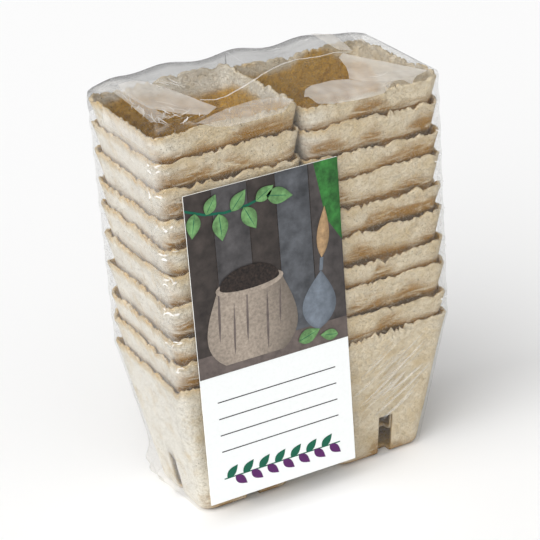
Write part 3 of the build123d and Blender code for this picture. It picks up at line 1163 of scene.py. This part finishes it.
class FIBREPACK_OT_film_tops(bpy.types.Operator):
    """Build the creased film over the mouths of the stacks"""

    bl_idname = "fibrepack.film_tops"
    bl_label = "Film tops"

    def execute(self, context):
        film, pot = context.scene.fibre_film, context.scene.fibre_pot
        clear = film_material("clear_film_top", film, 1.0, film.haze)
        folded = film_material("folded_film", film, 1.0, film.haze)
        # Crumples are painted highlights in the glint colour.
        crumple_highlight = film_material("crumpled_film", film, 1.0, film.glint)
        for side in SIDES:
            rng = random.Random(TOP_SEED[side])
            points, faces, values = film_top_mesh(side, film, pot, rng)
            piece = mesh_object(f"film_top_{side}_sheet", points, faces, clear)
            for key, numbers in values.items():
                point_values(piece, key, numbers)
            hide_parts(f"film_top_{side}")
            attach(piece, BODY_OF[f"film_top_{side}"])
            for number, (first, second, milk_and_highlight) in enumerate(FOLDS[side], start=1):
                lines = from_millimetres(first), from_millimetres(second)
                name = f"film_fold_{side}_{number}"
                lift = FOLD_LIFT + FOLD_LIFT_STEP * number
                lying_strip(name, side, *lines, film, folded, milk_and_highlight, lift)
            self.seam(side, film, folded)
            self.crumples(side, film, crumple_highlight, rng)
        return {"FINISHED"}

    def crumples(self, side, film, material, rng):
        """Painted highlights on crumpled film in the corners, as many thin slivers."""

        def place(x, y):
            return x, y, float(top_height(side, np.array(x), np.array(y), film)) + CRUMPLE_LIFT

        slivers = []
        halves = (PACK_HALF_WIDTH, PACK_HALF_DEPTH)
        limits = [half - margin for half, margin in zip(halves, CRUMPLE_MARGIN)]
        for middle, spread, count, slant in CRUMPLES[side]:
            for k in range(count):
                spot = [(m + rng.gauss(0, 0.5) * h) * MILLIMETRE for m, h in zip(middle, spread)]
                spot = [min(max(v, -limit), limit) for v, limit in zip(spot, limits)]
                length, width = rng.uniform(0.004, 0.012), rng.uniform(0.011, 0.025) ** 2
                angle, bend = slant + rng.gauss(0, 0.4), rng.uniform(-0.7, 0.7)
                milk_and_highlight = rng.uniform(0.25, 0.75) * min(1.0, THIN_SLIVER / width)
                slivers.append((spot, angle, length, width, bend, milk_and_highlight))
        body = BODY_OF[f"film_top_{side}"]
        sliver_sheet(f"film_crumples_{side}", slivers, place, material, body)

    def seam(self, side, film, material):
        """Narrow welded seam that wanders across the top."""
        sign = OUTWARDS[side]
        line = [p for p in SEAM if p[0] * sign > 0]
        join = (sign * SEAM_JOIN[0], SEAM_JOIN[1])
        line = from_millimetres(line + [join] if side == "left" else [join] + line)
        lines = line, [(x, y + SEAM_WIDTH) for x, y in line]
        name = f"film_seam_{side}"
        lying_strip(name, side, *lines, film, material, SEAM_HAZE, SEAM_LIFT, SEAM_STEPS)


PRINT_STEP = 0.00004
PRINT_COLUMNS = 8


def card_print(name, shapes, layer, material, shade=0.0, lit=0.4):
    """Printed shapes, each between two lines in shares of the card, darker off their lit share."""
    width, height = CARD_HIGH.x - CARD_LOW.x, CARD_HIGH.z - CARD_LOW.z
    front = CARD_LOW.y - PRINT_STEP * (layer + 1)
    points, faces, tones = [], [], []
    for first, second in shapes:
        start = len(points)
        for (u0, v0), (u1, v1) in zip(first, second):
            for k in range(PRINT_COLUMNS + 1):
                t = k / PRINT_COLUMNS
                u, v = u0 + (u1 - u0) * t, v0 + (v1 - v0) * t
                points.append((CARD_LOW.x + u * width, front, CARD_LOW.z + v * height))
                tones.append(1 - shade * min(1.0, abs(t - lit) * 1.5) ** 1.5)
        grid = grid_faces(len(first), PRINT_COLUMNS + 1)
        faces += [tuple(start + k for k in face) for face in grid]
    piece = mesh_object(name, points, faces, material, smooth=False)
    point_values(piece, "tone", tones)
    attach(piece, BODY_OF["label_card"])


def upright_lines(u0, v0, u1, v1):
    """The left and right side of a rectangle on the card."""
    return [(u0, v0), (u0, v1)], [(u1, v0), (u1, v1)]


def leaf_lines(base, tip, swell, steps=10):
    """The two sides of a pointed leaf from its base to its tip, in shares of the card's width."""
    du, dv = tip[0] - base[0], tip[1] - base[1]
    sides = []
    for turn in (1, -1):
        bulge = [turn * swell * math.sin(math.pi * (k / steps) ** 0.8) for k in range(steps + 1)]
        sides.append(
            [
                (base[0] + du * k / steps - 2 * dv * b, base[1] + dv * k / steps + du * b / 2)
                for k, b in enumerate(bulge)
            ]
        )
    return sides


def dish_lines(centre, half, drop, rise, steps=14):
    """The lower and upper side of a flat ellipse or mound on the card."""
    turns = [math.pi * (1 - k / steps) for k in range(steps + 1)]
    return [
        [(centre[0] + half * math.cos(a), centre[1] + reach * math.sin(a)) for a in turns]
        for reach in (-drop, rise)
    ]


def sack_lines(middle, foot, width, height, steps=16):
    """The left and right side of a full sack with a drawn-in neck."""
    lines = ([], [])
    for k in range(steps + 1):
        t = k / steps
        belly = 0.4 + 0.11 * math.sin(math.pi * t**0.8) - 0.06 * t
        half = width * belly * (1 - 0.22 * (1 - t) ** 7)
        for line, sign in zip(lines, (-1, 1)):
            line.append((middle + sign * half, foot + height * t))
    return lines


# The print's places and sizes are shares of the card's width and height.
PICTURE_FOOT = 0.42
SHELF_HEIGHT = 0.07
# Each board's start and end across the card, with how bright and how blue it is.
BOARDS = (
    (0.0, 0.17, 0.8, 0),
    (0.175, 0.40, 1.3, 0.4),
    (0.405, 0.58, 0.75, 0),
    (0.585, 0.80, 1.5, 0.7),
    (0.805, 1.0, 1.1, 0.2),
)
BOARD_BLUE, BOARD_MOTTLE = (-0.1, 0.35, 0.8), (0.5, 160.0)
GRASS = ((0.9, 0.82), (0.84, 1)), ((1, 0.74), (1, 1))
SACK = (0.37, 0.445, 0.62, 0.24)  # middle, foot, width and height
SACK_NECK = 0.36
# Creases in the sack, each with its foot and length.
CREASES = (
    (0.15, 0.52, 0.2),
    (0.24, 0.47, 0.17),
    (0.33, 0.50, 0.18),
    (0.46, 0.46, 0.2),
    (0.55, 0.53, 0.14),
)
TROWEL = ((0.80, 0.47), (0.845, 0.66), (0.855, 0.70), (0.895, 0.86))
TWIG = ((0.0, 0.955), (0.12, 0.93), (0.25, 0.92), (0.40, 0.925), (0.52, 0.94))
# Leaves on the twig and on the shelf, each with its base and the way to its tip.
LEAVES = (
    (0.06, 0.942, -0.03, -0.075),
    (0.13, 0.929, 0.07, 0.055),
    (0.21, 0.922, 0.01, -0.085),
    (0.29, 0.92, 0.10, 0.055),
    (0.37, 0.923, 0.07, -0.075),
    (0.45, 0.931, 0.12, 0.035),
    (0.52, 0.94, 0.17, -0.02),
    (0.66, 0.452, 0.15, 0.022),
    (0.93, 0.44, -0.12, 0.012),
)
RULES, RULE_HEIGHT = (0.33, 0.275, 0.22, 0.165), 0.0035
BORDER_START, BORDER_END, BORDER_FOOT = 0.1, 0.9, 0.075
BORDER_COUNT = 7
BORDER_FIRST, BORDER_RUN = 0.12, 0.76
BORDER_LEAF = (0.075, 0.036)
# Inks, as how mottled they are and the scale of the mottling.
INKS = {
    "shelf": (0.35, 220.0),
    "linen": (0.28, 900.0),
    "wood": (0.3, 500.0),
    "steel": (0.3, 250.0),
    "soil": (0.9, 900.0),
    "leaf": (0.45, 420.0),
    "grass": (0.6, 300.0),
    "plum": (0.1, 300.0),
    "pine": (0.1, 300.0),
    "ink": (0.1, 400.0),
}


class FIBREPACK_OT_label_card(bpy.types.Operator):
    """Print the card on the front with a plain garden still life, ruled lines and a leaf border"""

    bl_idname = "fibrepack.label_card"
    bl_label = "Label card"

    def execute(self, context):
        card = context.scene.fibre_card
        paper = print_material("card_paper", tuple(card.paper), 0.02, 700.0, 0.5)
        node = frame["nodes"]["label_card"]
        node.data.materials.clear()
        node.data.materials.append(paper)
        point_values(node, "tone", [1.0] * len(node.data.vertices))
        inks = {
            name: print_material(f"print_{name}", tuple(getattr(card, name)), *mottle)
            for name, mottle in INKS.items()
        }
        for number, (*_, tone, blue) in enumerate(BOARDS, start=1):
            colour = tuple(c * tone * (1 + blue * k) for c, k in zip(card.plank, BOARD_BLUE))
            name = f"board_{number}"
            inks[name] = print_material(f"print_{name}", colour, *BOARD_MOTTLE)
        prints = self.boards() + self.sack() + self.trowel() + self.leaves() + self.lower_zone()
        for name, shapes, layer, ink, *light in prints:
            card_print(f"print_{name}", shapes, layer, inks[ink], *light)
        return {"FINISHED"}

    # Each of these gives a list of prints: name, shapes, layer, ink, shade and lit share.
    def boards(self):
        """Dark upright boards with grass to one side and a shelf below."""
        prints = [("gaps", [upright_lines(0, PICTURE_FOOT, 1, 1)], 0, "soil")]
        for number, (start, end, *_) in enumerate(BOARDS, start=1):
            name = f"board_{number}"
            prints.append((name, [upright_lines(start, PICTURE_FOOT, end, 1)], 1, name, 0.35))
        shelf = upright_lines(0, PICTURE_FOOT, 1, PICTURE_FOOT + SHELF_HEIGHT)
        return prints + [("grass", [GRASS], 2, "grass", 0.5), ("shelf", [shelf], 2, "shelf", 0.3)]

    def sack(self):
        """An open linen sack heaped with dark soil."""
        middle, foot, width, height = SACK
        top, neck = foot + height, width * SACK_NECK
        folds = [leaf_lines((u, v), (u + 0.02, v + reach), 0.02) for u, v, reach in CREASES]
        brim = dish_lines((middle, top), neck, 0.034, 0.03)
        soil = dish_lines((middle, top + 0.003), neck * 0.88, 0.02, 0.055)
        return [
            ("sack", [sack_lines(*SACK)], 6, "linen", 0.75, 0.32),
            ("sack_folds", folds, 7, "shelf"),
            ("sack_brim", [brim], 8, "linen", 0.2, 0.1),
            ("soil", [soil], 9, "soil"),
        ]

    def trowel(self):
        """A trowel that leans on the boards."""
        tip, blade_end, shaft_end, handle_end = TROWEL
        shaft = [[(u + side, v) for u, v in (blade_end, shaft_end)] for side in (-0.012, 0.012)]
        return [
            ("trowel_blade", [leaf_lines(tip, blade_end, 0.3)], 3, "steel", 0.6, 0.35),
            ("trowel_shaft", [shaft], 4, "steel", 0.5),
            ("trowel_handle", [leaf_lines(shaft_end, handle_end, 0.13)], 5, "wood", 0.6, 0.35),
        ]

    def leaves(self):
        """A leafy twig over the boards, and leaves on the shelf."""
        twig = [[(u, v + side) for u, v in TWIG] for side in (-0.004, 0.004)]
        leaves, ribs = [], []
        for u, v, du, dv in LEAVES:
            leaves.append(leaf_lines((u, v), (u + du, v + dv), 0.3))
            ribs.append(leaf_lines((u, v), (u + 0.9 * du, v + 0.9 * dv), 0.015))
        return [
            ("twig", [twig], 3, "pine"),
            ("leaves", leaves, 10, "leaf", 0.55, 0.62),
            ("leaf_ribs", ribs, 11, "pine"),
        ]

    def lower_zone(self):
        """Ruled lines and a border of small leaves on the white part."""
        rules = [upright_lines(BORDER_START, v, BORDER_END, v + RULE_HEIGHT) for v in RULES]
        stem = upright_lines(BORDER_START, BORDER_FOOT - 0.002, BORDER_END, BORDER_FOOT + 0.002)
        prints = [("rules", rules, 0, "ink"), ("border_stem", [stem], 0, "pine")]
        for ink, turn, shift in (("pine", 1, 0.0), ("plum", -1, 0.5)):
            leaves = []
            for k in range(BORDER_COUNT):
                u = BORDER_FIRST + BORDER_RUN * (k + shift) / BORDER_COUNT
                tip = (u + BORDER_LEAF[0], BORDER_FOOT + turn * BORDER_LEAF[1])
                leaves.append(leaf_lines((u, BORDER_FOOT), tip, 0.26))
            prints.append((f"border_{ink}", leaves, 1, ink))
        return prints


FLOOR_HALF = 6.0
SENSOR_WIDTH = 36.0
SUN_FROM = Vector((-0.72, -0.38, 0.62))
SKY_FROM = Vector((-0.5, -0.6, 0.62))


class FIBREPACK_OT_stage(bpy.types.Operator):
    """Set up the floor, the lights and the camera"""

    bl_idname = "fibrepack.stage"
    bl_label = "Stage"

    def execute(self, context):
        stage = context.scene.fibre_stage
        self.floor(stage)
        self.sun(stage)
        self.sky(stage)
        self.camera(stage)
        context.scene.view_settings.view_transform = "Standard"
        return {"FINISHED"}

    def floor(self, stage):
        """Wide pale floor that takes the shadow."""
        material = Shader("pale_floor").matt((*stage.floor, 1.0), 0.9, 0.0)
        signs = ((-1, -1), (1, -1), (1, 1), (-1, 1))
        corners = [(FLOOR_HALF * x, FLOOR_HALF * y, 0) for x, y in signs]
        floor = mesh_object("floor", corners, [(0, 1, 2, 3)], material, smooth=False)

    def sun(self, stage):
        """Soft light from the left, front and above."""
        lamp = bpy.data.lights.new("soft_sun", "SUN")
        lamp.energy = stage.sun
        lamp.angle = stage.sun_spread
        sun = bpy.data.objects.new("soft_sun", lamp)
        sun.rotation_euler = (-SUN_FROM).to_track_quat("-Z", "Y").to_euler()
        bpy.context.scene.collection.objects.link(sun)

    def sky(self, stage):
        """Surrounding light that is brighter on the front, left and above."""
        s = Shader("studio", bpy.data.worlds)
        facing = s.add("VectorMath", i0=s.add("TexCoord").outputs["Generated"], i1=SKY_FROM)
        facing.operation = "DOT_PRODUCT"
        greys = ((0, [stage.sky_dim] * 3), (1, [stage.sky_bright] * 3))
        light = s.ramp(facing.outputs["Value"], *greys)
        bpy.context.scene.world = s.finish(s.add("Background", Color=light))

    def camera(self, stage):
        """Camera that looks at the pack from the photo's angle."""
        lens = bpy.data.cameras.new("photo_camera")
        lens.lens = stage.lens
        lens.sensor_width = SENSOR_WIDTH
        lens.shift_x, lens.shift_y = stage.shift_x, stage.shift_y
        camera = bpy.data.objects.new("photo_camera", lens)
        a, e, roll = stage.azimuth, stage.elevation, stage.roll
        back = Vector((math.sin(a) * math.cos(e), -math.cos(a) * math.cos(e), math.sin(e)))
        right = Vector((math.cos(a), math.sin(a), 0.0))
        up = back.cross(right)
        rolled_right = math.cos(roll) * right + math.sin(roll) * up
        rolled_up = math.cos(roll) * up - math.sin(roll) * right
        turn = Matrix((rolled_right, rolled_up, back)).transposed().to_4x4()
        place = Vector((0, 0, stage.target_height)) + back * stage.distance
        camera.matrix_world = Matrix.Translation(place) @ turn
        bpy.context.scene.collection.objects.link(camera)
        bpy.context.scene.camera = camera


OPERATORS = (
    FIBREPACK_OT_pots,
    FIBREPACK_OT_film_sleeve,
    FIBREPACK_OT_film_tops,
    FIBREPACK_OT_label_card,
    FIBREPACK_OT_stage,
)
SETTINGS = {
    "fibre_pot": FibrePotSettings,
    "fibre_film": FilmSettings,
    "fibre_card": CardSettings,
    "fibre_stage": StageSettings,
}


class FIBREPACK_PT_panel(bpy.types.Panel):
    """Lists the pieces of the pack and their settings"""

    bl_label = "Fibre pot pack"
    bl_idname = "FIBREPACK_PT_panel"
    bl_space_type = "VIEW_3D"
    bl_region_type = "UI"
    bl_category = "Fibre pots"

    def draw(self, context):
        for operator in OPERATORS:
            self.layout.operator(operator.bl_idname)
        for name, group in SETTINGS.items():
            box = self.layout.box()
            box.label(text=group.bl_rna.description or name)
            for key in group.__annotations__:
                box.prop(getattr(context.scene, name), key)


def register():
    for group in (*SETTINGS.values(), *OPERATORS, FIBREPACK_PT_panel):
        bpy.utils.register_class(group)
    for name, group in SETTINGS.items():
        setattr(bpy.types.Scene, name, PointerProperty(type=group))


def unregister():
    for name in SETTINGS:
        delattr(bpy.types.Scene, name)
    for group in reversed((*SETTINGS.values(), *OPERATORS, FIBREPACK_PT_panel)):
        bpy.utils.unregister_class(group)


def main():
    register()
    bpy.ops.fibrepack.pots()
    bpy.ops.fibrepack.film_sleeve()
    bpy.ops.fibrepack.film_tops()
    bpy.ops.fibrepack.label_card()
    bpy.ops.fibrepack.stage()


if __name__ == "__main__":
    main()
